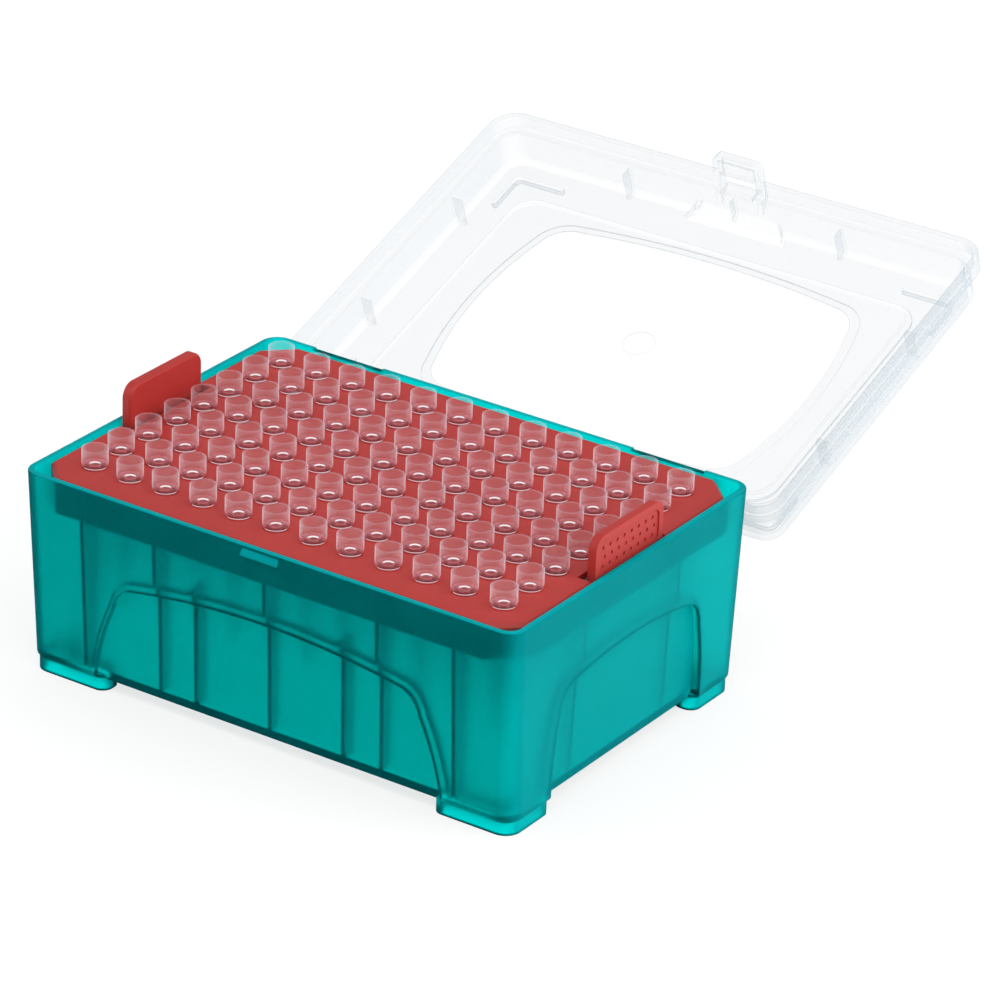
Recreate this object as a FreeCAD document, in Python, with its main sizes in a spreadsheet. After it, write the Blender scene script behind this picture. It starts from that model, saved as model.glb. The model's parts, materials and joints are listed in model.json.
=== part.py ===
"""Hinged storage box with a rack of 96 pipette tips, built as a parametric FreeCAD document.

Frame: +X runs along the long side, +Y points at the hinge, +Z is up. The origin is the centre of
the box's footprint on the table. All lengths are in millimetres and all angles in degrees.
The lid is drawn closed and then turned back about its hinge, because the box rests open.
"""
import FreeCAD
import Part
import math
import os
import Sketcher

App = FreeCAD
V = App.Vector

# Driving sizes. Each becomes one named cell of the "sizes" sheet.
SIZES = {
    # box shell
    "rim_half_x": 59.7,
    "rim_half_y": 42.6,
    "rim_top": 45.0,
    "rim_corner": 4.0,
    "wall": 1.3,
    "floor_low": 2.9,
    "draft_x": 0.62,
    "draft_y": 2.0,
    "floor_edge": 1.0,
    # recessed arches in the four walls
    "arch_half_x": 42.4,
    "arch_crown_x": 28.65,
    "arch_shoulder_x": 33.6,
    "arch_depth_top": 1.7,
    "arch_depth_foot": 1.2,
    "end_arch_half": 26.8,
    "end_arch_crown": 28.75,
    "end_arch_shoulder": 21.4,
    "end_depth_top": 1.6,
    "end_depth_foot": 2.2,
    "arch_rise": 3.2,
    "end_rise": 2.1,
    "arch_bend": 6.6,
    "arch_bend_run": 3.8,
    "arch_bend_drop": 8.2,
    "arch_leg_radius": 62.0,
    # corner feet
    "foot_inset": 0.5,
    "foot_leg": 5.6,
    "foot_reach_x": 40.1,
    "foot_reach_y": 25.8,
    "foot_wall": 1.2,
    "foot_hollow": 2.4,
    "foot_tip": 2.4,
    "foot_crook": 0.8,
    # inner ribs
    "rib_thick": 0.8,
    "rib_reach_x": 5.5,
    "rib_reach_y": 6.7,
    "short_rib_drop": 7.2,
    "short_rib_thick": 1.2,
    "rib_end_y": 16.7,
    "snap_play": 0.4,
    # front catch
    "catch_half": 4.3,
    "catch_tall": 1.6,
    "catch_drop": 0.3,
    "catch_out": 0.85,
    "catch_lip": 0.6,
    # hinge
    "hinge_out": 2.4,
    "hinge_drop": 5.0,
    "pin_radius": 1.0,
    "pin_play": 0.1,
    "knuckle_radius": 2.2,
    "hinge_inner_x": 31.0,
    "hinge_outer_x": 49.0,
    "bracket_thick": 3.6,
    "knuckle_gap": 0.4,
    "lid_open": 160.0,
    "heel_reach": 8.5,
    "heel_high": 2.1,
    "heel_low": 6.1,
    "rim_notch": 0.5,
    # rack
    "deck_sunk": 0.5,
    "deck_thick": 1.5,
    "skirt_tall": 7.3,
    "skirt_wall": 1.3,
    "rack_gap": 0.28,
    "rack_corner": 6.3,
    "deck_bevel": 0.9,
    "pitch": 9.0,
    "hole_radius": 2.45,
    "deck_rib_thick": 1.0,
    "deck_rib_drop": 3.5,
    "tab_half": 12.0,
    "tab_tall": 8.6,
    "tab_thick": 2.1,
    "tab_sunk": 0.8,
    "notch_side": 1.2,
    "notch_room": 1.3,
    "notch_floor": 2.2,
    "tab_bend": 3.0,
    "tab_edge": 0.6,
    "tab_frame": 1.5,
    "field_bend": 1.8,
    "field_deep": 0.3,
    "pit_radius": 0.4,
    "pit_deep": 0.25,
    "pit_pitch": 2.5,
    "pit_row": 2.0,
    "nub_half": 2.8,
    "nub_rise": 3.0,
    "nub_tall": 2.3,
    "nub_out": 0.45,
    # tips
    "collar_lap": 0.27,
    "collar_height": 4.1,
    "collar_wall": 0.45,
    "barrel_play": 0.3,
    "tip_length": 31.5,
    "tip_end_radius": 0.4,
    "tip_bore": 0.17,
    "waist_low": 14.0,
    "waist_radius": 1.0,
    "waist_bore": 0.62,
    "barrel_low": 5.0,
    "socket_wide": 1.8,
    "socket_bore": 1.1,
    "socket_floor": 0.35,
    # lid, in its closed place
    "mouth_lap": 2.5,
    "mouth_play_x": 0.8,
    "mouth_play_y": 1.0,
    "lid_wall": 1.2,
    "lid_corner": 6.0,
    "cover_edge": 1.5,
    "skirt_edge": 0.6,
    "seat_gap": 0.3,
    "step_rise": 2.0,
    "cover_out_x": 0.3,
    "cover_out_y": 0.2,
    "tab_room": 0.5,
    "platform_edge_x": 9.0,
    "platform_edge_y": 10.2,
    "platform_high": 1.0,
    "window_edge_x": 7.1,
    "window_edge_y": 1.2,
    "window_bow_x": 2.9,
    "window_bow_y": 2.5,
    "window_cut": 9.0,
    "window_bend": 8.3,
    "window_border": 1.9,
    "window_deep": 0.3,
    "window_field": 0.5,
    "ridge_high": 1.2,
    "ridge_wide": 1.0,
    "ridge_inset_x": 2.5,
    "ridge_inset_y": 2.2,
    "ridge_start_x": 3.3,
    "ridge_start_y": 1.8,
    "ridge_bend": 2.0,
    "catch_play": 0.2,
    "latch_drop": 5.2,
    "latch_thick": 2.0,
    "latch_bend": 2.0,
    "latch_leg": 1.4,
    "latch_sunk": 0.5,
    "latch_web": 0.9,
    "leg_stand": 0.6,
    "leg_tall": 3.4,
    "gate_radius": 3.6,
    "scoop_drop": 3.7,
    "scoop_half_low": 9.0,
    "scoop_half_high": 13.0,
    "gusset_rise": 1.8,
    "gusset_reach": 2.6,
}

# Sizes that follow the ones above, so that neighbouring pieces keep fitting each other.
TIED = {
    "rib_inner_x": "rim_half_x - rib_reach_x",
    "rib_inner_y": "rim_half_y - rib_reach_y",
    "rib_far_x": "5 * pitch",
    "deck_top": "rim_top - deck_sunk",
    "skirt_low": "deck_top - skirt_tall",
    "short_rib_top": "skirt_low - short_rib_drop",
    "catch_high": "rim_top - catch_drop",
    "catch_low": "catch_high - catch_tall",
    "hinge_y": "rim_half_y + hinge_out",
    "hinge_z": "rim_top - hinge_drop",
    "tab_top": "deck_top + tab_tall",
    "tab_outer": "rim_half_x - wall - tab_sunk",
    "tab_inner": "tab_outer - tab_thick",
    "notch_inner": "tab_inner - notch_room",
    "nub_low": "skirt_low + nub_rise",
    "nub_high": "nub_low + nub_tall",
    "collar_radius": "hole_radius + collar_lap",
    "barrel_radius": "hole_radius - barrel_play",
    "mouth_low": "rim_top - mouth_lap",
    "mouth_half_x": "rim_half_x + mouth_play_x + lid_wall",
    "mouth_half_y": "rim_half_y + mouth_play_y + lid_wall",
    "lid_step": "rim_top + step_rise",
    "lid_half_x": "rim_half_x + cover_out_x",
    "lid_half_y": "rim_half_y + cover_out_y",
    "lid_top": "tab_top + tab_room + lid_wall",
    "platform_half_x": "lid_half_x - platform_edge_x",
    "platform_half_y": "lid_half_y - platform_edge_y",
    "window_half_x": "platform_half_x - window_edge_x",
    "window_half_y": "platform_half_y - window_edge_y",
    "latch_half": "catch_half + catch_play + latch_leg",
    "latch_low": "catch_low - latch_drop",
    "leg_slope": "lid_step + leg_stand",
    "leg_top": "lid_step + leg_tall",
    "scoop_low": "lid_top - scoop_drop",
    "gusset_low": "rim_top + gusset_rise",
}

doc = App.newDocument("tip_box")


def make_sheet() -> App.DocumentObject:
    """Write every size, or the formula it follows, into an aliased cell of one spreadsheet."""
    sheet = doc.addObject("Spreadsheet::Sheet", "sizes")
    cells = list(SIZES.items()) + [(alias, f"={text}") for alias, text in TIED.items()]
    for row, (alias, content) in enumerate(cells, start=1):
        sheet.set(f"A{row}", alias)
        sheet.setAlias(f"B{row}", alias)
        sheet.set(f"B{row}", str(content))
    doc.recompute()
    return sheet


sheet = make_sheet()


def full(expression: str) -> str:
    """Prefix each size's name with the sheet's, so that other objects can read it."""
    words = []
    word = ""
    for letter in expression + " ":
        if letter.isalnum() or letter == "_":
            word += letter
            continue
        words.append(f"sizes.{word}" if word in SIZES or word in TIED else word)
        words.append(letter)
        word = ""
    return "".join(words).strip()


def value(expression: str) -> float:
    """Work out an expression's number from the sheet."""
    result = sheet.evalExpression(full(expression))
    return float(getattr(result, "Value", result))


def bind(thing: App.DocumentObject, prop: str, expression: str) -> None:
    """Bind one property to an expression in the sheet's sizes."""
    thing.setExpression(prop, full(expression))


# --- PartDesign helpers --------------------------------------------------------------------


def new_body(label: str) -> App.DocumentObject:
    """Start a PartDesign body."""
    body = doc.addObject("PartDesign::Body", label)
    body.Label = label
    return body


def plane(body: App.DocumentObject, role: str) -> App.DocumentObject:
    """Find one of the body's own origin planes by its role."""
    return next(item for item in body.Origin.OriginFeatures if item.Role == role)


def new_sketch(body, name: str, role: str, shift: str = "0", lift: str = "0", tilt: str = "0"):
    """Attach a sketch to an origin plane.

    Args:
        body: the body that owns the sketch.
        name: the sketch's name.
        role: "XY_Plane", "XZ_Plane" or "YZ_Plane".
        shift: distance along the plane's normal.
        lift: distance of the sketch's origin along its own Y.
        tilt: turn about the sketch's own X, in degrees.
    """
    sketch = body.newObject("Sketcher::SketchObject", name)
    sketch.AttachmentSupport = (plane(body, role), [""])
    sketch.MapMode = "FlatFace"
    sketch.AttachmentOffset = App.Placement(V(0, 0, 0), App.Rotation(V(1, 0, 0), 0))
    bind(sketch, "AttachmentOffset.Base.z", shift)
    bind(sketch, "AttachmentOffset.Base.y", lift)
    bind(sketch, "AttachmentOffset.Rotation.Angle", tilt)
    return sketch


def arc_between(start: V, end: V, radius: float, turn: int) -> Part.ArcOfCircle:
    """Make the short arc from start to end, turning left (+1) or right (-1)."""
    chord = end - start
    radius = max(radius, chord.Length / 2 * 1.0001)
    reach = math.sqrt(radius**2 - (chord.Length / 2) ** 2)
    side = V(-chord.y, chord.x, 0).normalize() * reach * turn
    centre = (start + end) * 0.5 + side
    middle = (start + end) * 0.5 - centre
    through = centre + middle.normalize() * radius if middle.Length > 1e-9 else centre - side
    return Part.Arc(start, through, end)


def size_points(sketch, spots: list) -> None:
    """Fix points and radii to expressions, in one solve.

    Args:
        sketch: the sketch that holds them.
        spots: (kind, geometry number, point number or None, expression) for each.
    """
    rules = []
    for kind, item, point, text in spots:
        if point is None:
            rules.append(Sketcher.Constraint(kind, item, value(text)))
        else:
            rules.append(Sketcher.Constraint(kind, item, point, value(text)))
    slots = sketch.addConstraint(rules)
    for slot, spot in zip(slots, spots):
        bind(sketch, f"Constraints[{slot}]", spot[3])


def outline(sketch, corners: list) -> None:
    """Draw one closed, fully sized outline.

    Args:
        sketch: the sketch that gets the outline.
        corners: (x, y) or (x, y, radius, turn) for each corner, as expressions. The last two
            make the stretch that leaves the corner an arc that turns left (+1) or right (-1).
    """
    first = sketch.GeometryCount
    points = [V(value(corner[0]), value(corner[1]), 0) for corner in corners]
    count = len(corners)
    stretches = []
    heads = []
    tails = []
    for index, corner in enumerate(corners):
        start = points[index]
        end = points[(index + 1) % count]
        turned = len(corner) == 4 and corner[3] < 0
        heads.append(2 if turned else 1)
        tails.append(1 if turned else 2)
        if len(corner) == 2:
            stretches.append(Part.LineSegment(start, end))
        else:
            stretches.append(arc_between(start, end, value(corner[2]), corner[3]))
    sketch.addGeometry(stretches, False)
    joins = []
    spots = []
    for index, corner in enumerate(corners):
        here = first + index
        after = (index + 1) % count
        joins.append(Sketcher.Constraint("Coincident", here, tails[index], first + after, heads[after]))
        spots.append(("DistanceX", here, heads[index], corner[0]))
        spots.append(("DistanceY", here, heads[index], corner[1]))
        if len(corner) == 4:
            spots.append(("Radius", here, None, corner[2]))
    sketch.addConstraint(joins)
    size_points(sketch, spots)


def ring(sketch, x: str, y: str, radius: str) -> None:
    """Draw one fully sized circle."""
    here = sketch.addGeometry(Part.Circle(V(value(x), value(y), 0), V(0, 0, 1), value(radius)), False)
    spots = [("DistanceX", here, 3, x), ("DistanceY", here, 3, y), ("Radius", here, None, radius)]
    size_points(sketch, spots)


def rounded(half_x: str, half_y: str, radius: str) -> list:
    """List the corners of a rounded rectangle about the origin, anticlockwise."""
    inner_x = f"({half_x}) - ({radius})"
    inner_y = f"({half_y}) - ({radius})"
    return [
        (f"-({inner_x})", f"-({half_y})"),
        (inner_x, f"-({half_y})", radius, 1),
        (half_x, f"-({inner_y})"),
        (half_x, inner_y, radius, 1),
        (inner_x, half_y),
        (f"-({inner_x})", half_y, radius, 1),
        (f"-({half_x})", inner_y),
        (f"-({half_x})", f"-({inner_y})", radius, 1),
    ]


def box_corners(low_x: str, low_y: str, high_x: str, high_y: str) -> list:
    """List the corners of a plain rectangle, anticlockwise."""
    return [(low_x, low_y), (high_x, low_y), (high_x, high_y), (low_x, high_y)]


def wedge(body, name: str, low: tuple, high: tuple, radius: str, bevel: bool = False):
    """Make a block with sloping flat walls and rounded or bevelled upright edges.

    Args:
        body: the body that gets the block.
        name: the block's name.
        low: (half x, half y, height) of its bottom face, as expressions.
        high: the same for its top face.
        radius: radius or leg of the four upright edges.
        bevel: whether those edges are bevelled.
    """
    block = body.newObject("PartDesign::AdditiveWedge", name)
    block.AttachmentSupport = (plane(body, "XY_Plane"), [""])
    block.MapMode = "FlatFace"
    block.AttachmentOffset = App.Placement(V(0, 0, 0), App.Rotation(V(1, 0, 0), 90))
    for prop, text in (
        ("Xmin", f"-({low[0]})"), ("Xmax", low[0]), ("Zmin", f"-({low[1]})"), ("Zmax", low[1]),
        ("X2min", f"-({high[0]})"), ("X2max", high[0]), ("Z2min", f"-({high[1]})"), ("Z2max", high[1]),
        ("Ymin", low[2]), ("Ymax", high[2]),
    ):
        bind(block, prop, text)
    body.Tip = block
    doc.recompute()
    span = value(high[2]) - value(low[2])


    def upright(edge) -> bool:
        return edge.BoundBox.ZLength > 0.9 * span

    return round_edges(body, f"{name}Corners", radius, upright, bevel)


def pad(body, name: str, sketch, length: str, middle: bool = False, backwards: bool = False):
    """Raise a sketch into a solid."""
    feature = body.newObject("PartDesign::Pad", name)
    feature.Profile = sketch
    bind(feature, "Length", length)
    feature.Midplane = middle
    feature.Reversed = backwards
    body.Tip = feature
    doc.recompute()
    return feature


def pocket(body, name: str, sketch, length: str, outwards: bool = False, middle: bool = False):
    """Cut a sketch's outline out of the body, against the sketch's normal unless outwards."""
    before = body.Shape.Volume
    feature = body.newObject("PartDesign::Pocket", name)
    feature.Profile = sketch
    bind(feature, "Length", length)
    feature.Reversed = outwards
    feature.Midplane = middle
    body.Tip = feature
    doc.recompute()
    if body.Shape.Volume > before - 1e-6:
        raise RuntimeError(f"{name} cut nothing")
    return feature


def mirrored(body, name: str, features: list, roles: list):
    """Repeat features across one or two of the body's origin planes."""
    if len(roles) == 1:
        copy = body.newObject("PartDesign::Mirrored", name)
        copy.Originals = features
        copy.MirrorPlane = (plane(body, roles[0]), [""])
    else:
        copy = body.newObject("PartDesign::MultiTransform", name)
        steps = []
        for role in roles:
            step = body.newObject("PartDesign::Mirrored", f"{name}_{role[:2]}")
            step.MirrorPlane = (plane(body, role), [""])
            steps.append(step)
        copy.Originals = features
        copy.Transformations = steps
    body.Tip = copy
    doc.recompute()
    return copy


def hollow(body, name: str, tool):
    """Cut one body out of another."""
    feature = body.newObject("PartDesign::Boolean", name)
    feature.Type = "Cut"
    feature.setObjects([tool])
    body.Tip = feature
    doc.recompute()
    return feature


def round_edges(body, name: str, radius: str, wanted, bevel: bool = False):
    """Round or bevel every edge of the body's tip that the wanted test accepts."""
    source = body.Tip
    names = [f"Edge{index}" for index, edge in enumerate(source.Shape.Edges, start=1) if wanted(edge)]
    feature = body.newObject("PartDesign::Chamfer" if bevel else "PartDesign::Fillet", name)
    feature.Base = (source, names)
    bind(feature, "Size" if bevel else "Radius", radius)
    body.Tip = feature
    doc.recompute()
    return feature


def level(edge, height: float) -> bool:
    """Tell whether an edge lies flat at one height."""
    box = edge.BoundBox
    return abs(box.ZMin - height) < 1e-4 and abs(box.ZMax - height) < 1e-4


# --- Box shell -----------------------------------------------------------------------------


def shell_half(axis: str, height: str) -> str:
    """Give the box shell's outer half size along x or y at a height."""
    return f"(rim_half_{axis} - draft_{axis} * (rim_top - ({height})) / (rim_top - floor_low))"


def arch_corners(half: str, shoulder: str, crown: str, rise: str, grow: str) -> list:
    """List an arch's corners in its panel's plane, measured up from the floor.

    Args:
        half: half width at the floor.
        shoulder: half width where the flat crown ends.
        crown: height of the crown above the table.
        rise: how far the crown stands above its shoulders.
        grow: distance to grow the outline outwards.
    """
    top = f"({crown} - floor_low)"
    shoulder_x = f"({shoulder} + 0.25 * {grow})"
    shoulder_y = f"({top} - {rise} + 0.95 * {grow})"
    leg_x = f"({shoulder} + arch_bend_run + 0.93 * {grow})"
    leg_y = f"({top} - arch_bend_drop + 0.35 * {grow})"
    foot_x = f"({half} + {grow})"
    crown_radius = f"({shoulder_x} ^ 2 + {rise} ^ 2) / (2 * {rise})"
    bend = f"arch_bend + {grow}"
    return [
        (f"-{foot_x}", "-2 * floor_low"),
        (foot_x, "-2 * floor_low"),
        (foot_x, "wall", "arch_leg_radius", 1),
        (leg_x, leg_y, bend, 1),
        (shoulder_x, shoulder_y, crown_radius, 1),
        (f"-{shoulder_x}", shoulder_y, bend, 1),
        (f"-{leg_x}", leg_y, "arch_leg_radius", 1),
        (f"-{foot_x}", "wall"),
    ]


def cut_arches(body, inset: str) -> None:
    """Cut the four arch recesses, each deeper at its foot than at its crown.

    Args:
        body: the solid that is cut.
        inset: distance that the panels lie further in, and their outlines further out.
    """
    sides = (
        ("Long", "y", ("arch_half_x", "arch_shoulder_x", "arch_crown_x", "arch_rise"), "arch"),
        ("End", "x", ("end_arch_half", "end_arch_shoulder", "end_arch_crown", "end_rise"), "end"),
    )
    for name, axis, form, depth in sides:
        role = "XZ_Plane" if axis == "y" else "YZ_Plane"
        crown = form[2]
        foot = f"({shell_half(axis, 'floor_low')} - {depth}_depth_foot - {inset})"
        head = f"({shell_half(axis, crown)} - {depth}_depth_top - {inset})"
        tilt = f"atan(({head} - {foot}) / ({crown} - floor_low))"
        sketch = new_sketch(body, f"{name}Arch", role, shift=foot, lift="floor_low", tilt=tilt)
        outline(sketch, arch_corners(*form, inset))
        cut = pocket(body, f"{name}ArchCut", sketch, "rim_half_y / 3", outwards=True)
        mirrored(body, f"{name}ArchPair", [cut], [role])


def make_cavity():
    """Make the solid that the box's inside is cut with."""
    body = new_body("cavity")
    ends = []
    for height in ("floor_low + wall", "rim_top + 1"):
        ends.append((f"{shell_half('x', height)} - wall", f"{shell_half('y', height)} - wall", height))
    wedge(body, "CavityBlock", ends[0], ends[1], "rim_corner - wall")
    cut_arches(body, "wall")
    ribs = new_sketch(body, "TallRibs", "XY_Plane", shift="skirt_low")
    half = "rib_thick / 2"
    for low, high in (("-rim_half_y", "-rib_inner_y"), ("rib_inner_y", "rim_half_y")):
        for place in ("0", "3 * pitch", "-3 * pitch", "rib_far_x", "-rib_far_x"):
            outline(ribs, box_corners(f"{place} - {half}", low, f"{place} + {half}", high))
    for low, high in (("-rim_half_x", "-rib_inner_x"), ("rib_inner_x", "rim_half_x")):
        for place in ("rib_end_y", "-rib_end_y"):
            outline(ribs, box_corners(low, f"{place} - {half}", high, f"{place} + {half}"))
    pocket(body, "TallRibSlots", ribs, "skirt_low")
    ribs = new_sketch(body, "ShortRibs", "XY_Plane", shift="short_rib_top")
    half = "short_rib_thick / 2"
    for low, high in (("-rim_half_y", "-rib_inner_y"), ("rib_inner_y", "rim_half_y")):
        for place in ("2 * pitch", "-2 * pitch"):
            outline(ribs, box_corners(f"{place} - {half}", low, f"{place} + {half}", high))
    pocket(body, "ShortRibSlots", ribs, "short_rib_top")
    wall_in = f"({shell_half('x', 'nub_low')} - wall)"
    snap = new_sketch(body, "SnapPocket", "YZ_Plane", shift=f"{wall_in} - 1")
    side = "nub_half + snap_play"
    outline(snap, box_corners(f"-({side})", "nub_low - snap_play", side, "nub_high + snap_play"))
    bump = pad(body, "SnapPocketFill", snap, "1 + wall / 2")
    mirrored(body, "SnapPockets", [bump], ["YZ_Plane"])
    return body


def foot_corners(inset: str) -> list:
    """List the corners of one L-shaped corner foot, or of its hollow when inset."""
    far_x = f"({shell_half('x', 'floor_low')} - foot_inset - {inset})"
    far_y = f"({shell_half('y', 'floor_low')} - foot_inset - {inset})"
    near_x = f"({shell_half('x', 'floor_low')} - foot_inset - foot_leg + {inset})"
    near_y = f"({shell_half('y', 'floor_low')} - foot_inset - foot_leg + {inset})"
    start_x = f"(foot_reach_x + {inset})"
    start_y = f"(foot_reach_y + {inset})"
    bend = f"(rim_corner - foot_inset - {inset})"
    tip = f"(foot_tip - 0.8 * {inset})"
    inner = f"(foot_crook + {inset})"
    return [
        (f"{far_x} - {tip}", start_y, tip, 1),
        (far_x, f"{start_y} + {tip}"),
        (far_x, f"{far_y} - {bend}", bend, 1),
        (f"{far_x} - {bend}", far_y),
        (f"{start_x} + {tip}", far_y, tip, 1),
        (start_x, f"{far_y} - {tip}"),
        (start_x, f"{near_y} + {tip}", tip, 1),
        (f"{start_x} + {tip}", near_y),
        (f"{near_x} - {inner}", near_y, inner, -1),
        (near_x, f"{near_y} - {inner}"),
        (near_x, f"{start_y} + {tip}", tip, 1),
        (f"{near_x} + {tip}", start_y),
    ]


def add_feet(body) -> None:
    """Add four hollow L-shaped feet under the corners."""
    solid = new_sketch(body, "Foot", "XY_Plane")
    outline(solid, foot_corners("0"))
    leg = pad(body, "FootPad", solid, "floor_low + wall / 2")
    inside = new_sketch(body, "FootHollow", "XY_Plane")
    outline(inside, foot_corners("foot_wall"))
    well = pocket(body, "FootHollowCut", inside, "foot_hollow", outwards=True)
    mirrored(body, "Feet", [leg, well], ["YZ_Plane", "XZ_Plane"])


def add_catch(body) -> None:
    """Add the ledge that the lid's latch snaps under."""
    face = shell_half("y", "catch_low")
    profile = new_sketch(body, "Catch", "YZ_Plane")
    root = f"-{face} + wall / 2"
    nose = f"-{face} - catch_out"
    corners = [(root, "catch_low"), (root, "catch_high"), (f"-{face}", "catch_high"),
               (nose, "catch_low + catch_lip"), (nose, "catch_low")]
    outline(profile, corners)
    pad(body, "CatchPad", profile, "2 * catch_half", middle=True)


def open_point(y: str, z: str) -> tuple:
    """Turn a point of the closed lid, given from the hinge axis, to where it lies open."""
    new_y = f"(hinge_y + ({y}) * cos(lid_open * 1 deg) + ({z}) * sin(lid_open * 1 deg))"
    new_z = f"(hinge_z - ({y}) * sin(lid_open * 1 deg) + ({z}) * cos(lid_open * 1 deg))"
    return new_y, new_z


def add_hinge_brackets(body) -> None:
    """Add two pairs of brackets with a pin between each pair, and the heels that stop the lid."""
    inside = f"({shell_half('y', 'hinge_z - 8')} - wall / 2)"
    heel_high = open_point("mouth_half_y - hinge_y + seat_gap", "heel_high")
    heel_low = open_point("mouth_half_y - hinge_y + seat_gap", "heel_low")
    corners = [
        (inside, "hinge_z + knuckle_radius"),
        (inside, "hinge_z - heel_reach"),
        (f"{heel_low[0]} - 0.9", f"{heel_low[1]} - 0.6"),
        heel_low,
        heel_high,
        ("hinge_y + knuckle_radius", "hinge_z", "knuckle_radius", 1),
        ("hinge_y", "hinge_z + knuckle_radius"),
    ]
    pads = []
    for name, place in (("Inner", "hinge_inner_x"), ("Outer", "hinge_outer_x - bracket_thick")):
        sketch = new_sketch(body, f"{name}Bracket", "YZ_Plane", shift=place)
        outline(sketch, corners)
        pads.append(pad(body, f"{name}BracketPad", sketch, "bracket_thick"))
    shaft = new_sketch(body, "Pin", "YZ_Plane", shift="hinge_inner_x + 1")
    ring(shaft, "hinge_y", "hinge_z", "pin_radius")
    pads.append(pad(body, "PinPad", shaft, "hinge_outer_x - hinge_inner_x - 2"))
    mirrored(body, "HingePair", pads, ["YZ_Plane"])


def make_base():
    """Build the box: a drafted shell with arch recesses, feet, catch and hinge brackets."""
    body = new_body("base")
    low = (shell_half("x", "floor_low"), shell_half("y", "floor_low"), "floor_low")
    wedge(body, "ShellBlock", low, ("rim_half_x", "rim_half_y", "rim_top"), "rim_corner")
    floor = value("floor_low")
    rim = value("rim_top")
    round_edges(body, "FloorEdge", "floor_edge", lambda edge: level(edge, floor))
    round_edges(body, "RimEdge", "wall / 3", lambda edge: level(edge, rim))
    cut_arches(body, "0")
    add_feet(body)
    add_catch(body)
    add_hinge_brackets(body)
    notch = new_sketch(body, "RimNotch", "XY_Plane", shift="rim_top")
    reach = "hinge_outer_x - 0.5"
    outline(notch, box_corners("hinge_inner_x", "rim_half_y - 3 * wall", reach, "rim_half_y + 1"))
    cut = pocket(body, "RimNotchCut", notch, "rim_notch")
    mirrored(body, "RimNotches", [cut], ["YZ_Plane"])
    hollow(body, "Inside", make_cavity())
    return body


# --- Rack ----------------------------------------------------------------------------------


def rack_half(axis: str, height: str) -> str:
    """Give the rack's outer half size along x or y at a height, one gap inside the box."""
    return f"({shell_half(axis, height)} - wall - rack_gap)"


def rack_hollow():
    """Make the solid that hollows the rack from below, slotted where the deck has ribs."""
    body = new_body("rack_hollow")
    ceiling = "deck_top - deck_thick"
    ends = []
    for height in ("skirt_low - 1", ceiling):
        halves = [f"{rack_half(axis, height)} - skirt_wall" for axis in ("x", "y")]
        ends.append((halves[0], halves[1], height))
    wedge(body, "RackHollowBlock", ends[0], ends[1], "rack_corner - 0.6 * skirt_wall", bevel=True)
    half = "deck_rib_thick / 2"
    across = new_sketch(body, "AcrossRibs", "XY_Plane", shift=ceiling)
    for place in ("0", "2 * pitch", "-2 * pitch", "4 * pitch", "-4 * pitch"):
        outline(across, box_corners(f"{place} - {half}", "-rim_half_y", f"{place} + {half}", "rim_half_y"))
    pocket(body, "AcrossRibSlots", across, "deck_rib_drop")
    along = new_sketch(body, "AlongRibs", "XY_Plane", shift=ceiling)
    for place in ("0", "2 * pitch", "-2 * pitch"):
        outline(along, box_corners("-rim_half_x", f"{place} - {half}", "rim_half_x", f"{place} + {half}"))
    pocket(body, "AlongRibSlots", along, "deck_rib_drop")
    return body


def repeat_grid(body, name: str, features: list, sketch, steps: list) -> None:
    """Repeat features along a sketch's axes.

    Args:
        body: the body that owns them.
        name: the repeat's name.
        features: what is repeated.
        sketch: the sketch whose axes give the directions.
        steps: (axis, count, pitch) for each direction.
    """
    grid = body.newObject("PartDesign::MultiTransform", name)
    rows = []
    for axis, count, spacing in steps:
        row = body.newObject("PartDesign::LinearPattern", f"{name}_{axis[0]}")
        row.Direction = (sketch, [axis])
        bind(row, "Length", f"{count - 1} * {spacing}")
        row.Occurrences = count
        rows.append(row)
    grid.Originals = features
    grid.Transformations = rows
    body.Tip = grid
    doc.recompute()


def tab_corners() -> list:
    """List the corners of a lift tab's plate, round at its two upper corners."""
    return [
        ("-tab_half", "skirt_low"),
        ("tab_half", "skirt_low"),
        ("tab_half", "tab_top - tab_bend", "tab_bend", 1),
        ("tab_half - tab_bend", "tab_top"),
        ("-tab_half + tab_bend", "tab_top", "tab_bend", 1),
        ("-tab_half", "tab_top - tab_bend"),
    ]


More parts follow.
